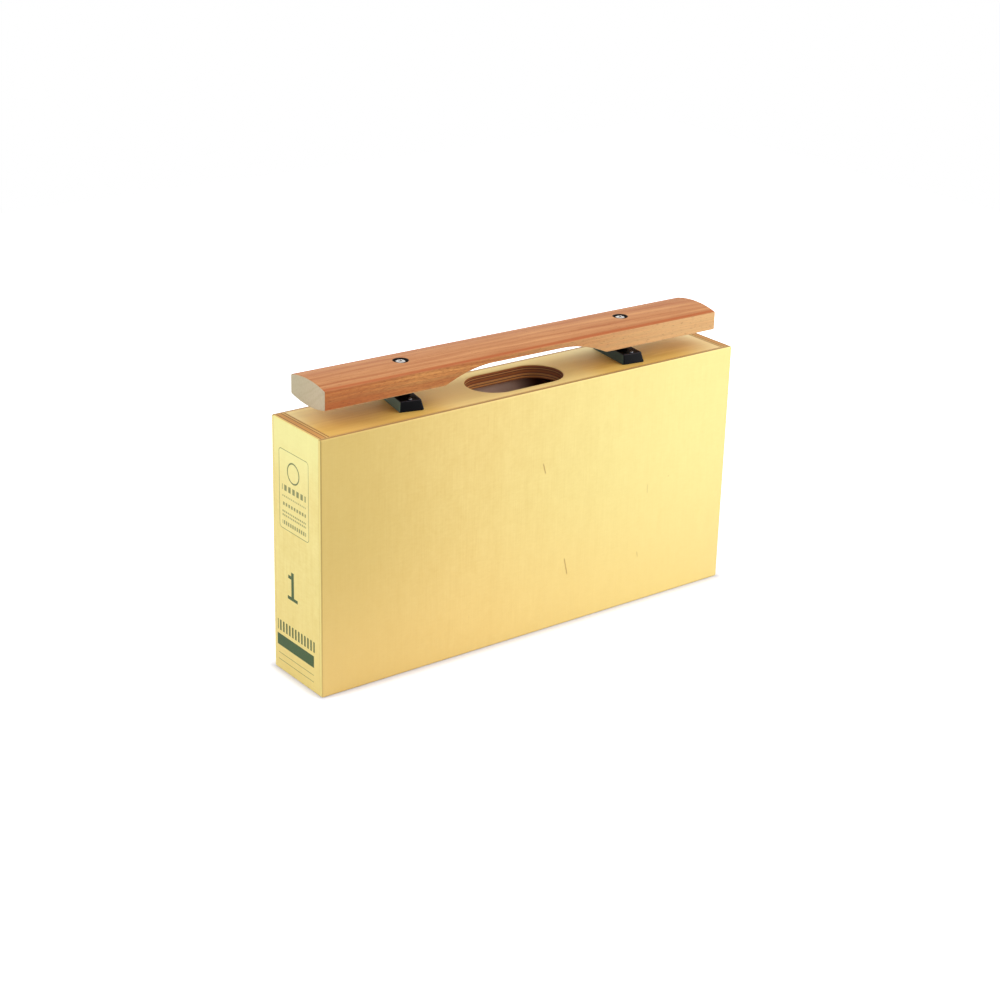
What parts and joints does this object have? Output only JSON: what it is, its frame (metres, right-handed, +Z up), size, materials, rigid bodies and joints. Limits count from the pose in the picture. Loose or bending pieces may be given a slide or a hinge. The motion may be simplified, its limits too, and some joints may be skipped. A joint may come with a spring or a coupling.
{
  "type": "bass resonator bar",
  "caption": "Tuned wooden bar floating on rubber blocks above the sound hole of a tall, narrow plywood resonator box.",
  "frame": {"origin": "middle of the box's footprint, on the surface it stands on", "axes": "+X along the bar towards its right end, +Y from the front panel to the back panel, +Z up"},
  "size_m": [0.43, 0.072, 0.2574],
  "materials": {
    "box_ply": "clear satin lacquer on pale plywood",
    "deck_ply": "clear satin lacquer on tan plywood",
    "bar_wood": "oiled reddish-brown hardwood, finely grained",
    "block_rubber": "smooth black rubber with a soft sheen",
    "sleeve_plastic": "dull dark plastic",
    "screw_steel": "bright zinc plate",
    "pin_steel": "blackened steel"
  },
  "bodies": {
    "box": {"front_panel": "box_ply", "back_panel": "box_ply", "left_end_board": "box_ply", "right_end_board": "box_ply", "bottom_board": "box_ply", "top_board": "deck_ply", "left_support_block": "block_rubber", "right_support_block": "block_rubber", "left_block_front_pin": "pin_steel", "left_block_back_pin": "pin_steel", "right_block_front_pin": "pin_steel", "right_block_back_pin": "pin_steel", "left_cushion_ring": "block_rubber", "right_cushion_ring": "block_rubber", "left_spacer_sleeve": "sleeve_plastic", "right_spacer_sleeve": "sleeve_plastic", "left_washer": "screw_steel", "right_washer": "screw_steel", "left_bar_screw": "screw_steel", "right_bar_screw": "screw_steel"},
    "bar": {"tone_bar": "bar_wood"}
  },
  "joints": [
    {"name": "bar_lift", "type": "slide", "parent": "box", "child": "bar", "axis": [0, 0, 1], "range_m": [0, 0.0008]}
  ]
}
